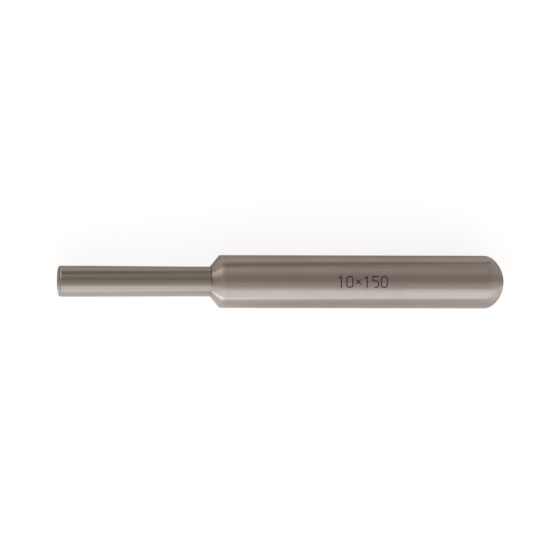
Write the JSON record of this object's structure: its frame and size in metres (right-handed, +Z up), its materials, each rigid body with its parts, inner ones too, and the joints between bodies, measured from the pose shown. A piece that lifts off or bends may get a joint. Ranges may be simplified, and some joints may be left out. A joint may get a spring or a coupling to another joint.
{
  "type": "pin punch",
  "caption": "Pin punch for driving out pins: a ground parallel pin pressed into a round bar that has a conical nose and a domed end to strike.",
  "frame": {"origin": "on the surface that the punch lies on, under the middle of its length", "axes": "+X along the tool from the tip of the pin to the domed struck end, +Z up from the surface, the tool's axis half the bar's diameter above it"},
  "size_m": [0.15, 0.0176, 0.0177],
  "materials": {
    "turned_titanium": "satin",
    "ground_titanium": "satin"
  },
  "bodies": {
    "root": {"body": "turned_titanium", "drive_pin": "ground_titanium"}
  },
  "joints": []
}
